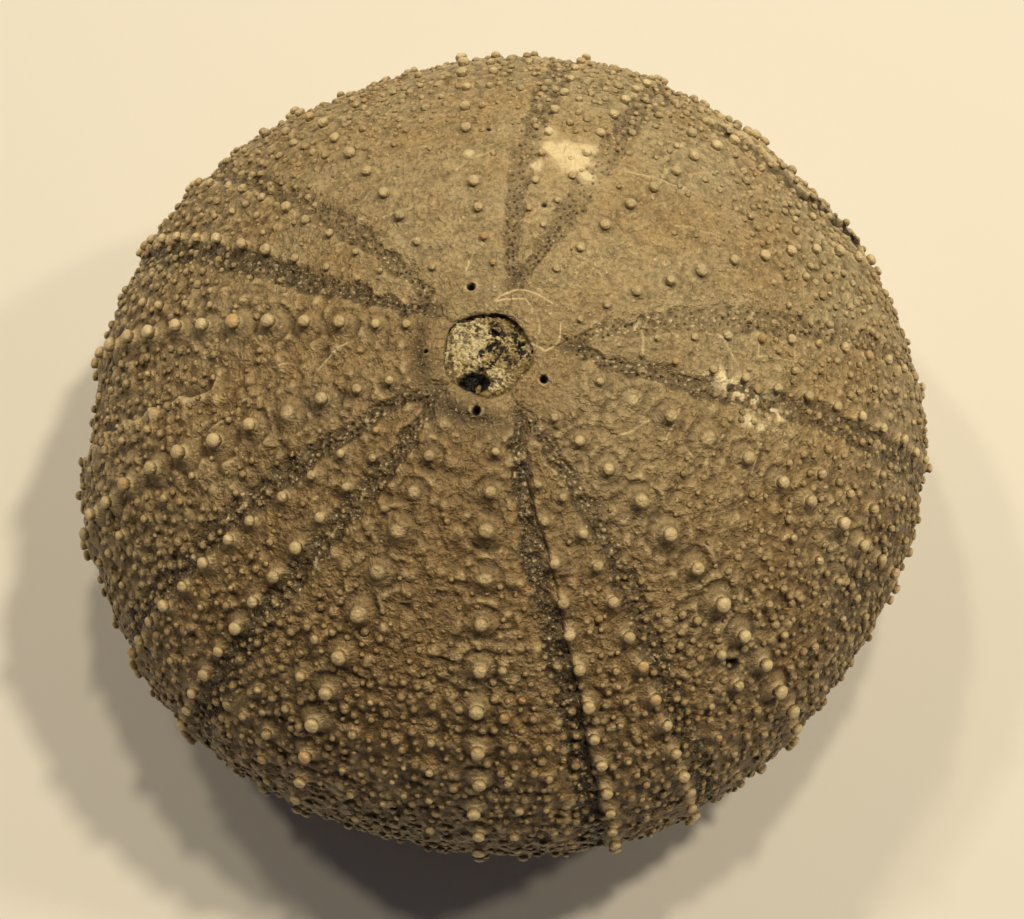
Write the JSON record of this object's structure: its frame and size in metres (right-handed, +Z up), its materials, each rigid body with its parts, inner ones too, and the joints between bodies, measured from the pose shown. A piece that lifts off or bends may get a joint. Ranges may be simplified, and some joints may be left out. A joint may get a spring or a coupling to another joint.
{
  "type": "fossil sea urchin",
  "caption": "Domed stone test of a fossil sea urchin with rows of tubercles, lying mouth down, its openings plugged with sandy matrix.",
  "frame": {"origin": "centre of the bounding box's underside, on the ground below the middle of the test", "axes": "+Z up through the apex, away from the mouth; +X along the midline of one ambulacrum, within 3 degrees; the side seen from the front faces -Y"},
  "size_m": [0.0644, 0.063, 0.0375],
  "materials": {
    "test": "weathered fossil calcite, grey-brown, satin where the plates are worn smooth",
    "matrix": "hardened sand with pale crystals and black specks, rough"
  },
  "bodies": {
    "root": {"test": "test", "apical_matrix": "matrix", "oral_matrix": "matrix"}
  },
  "joints": []
}
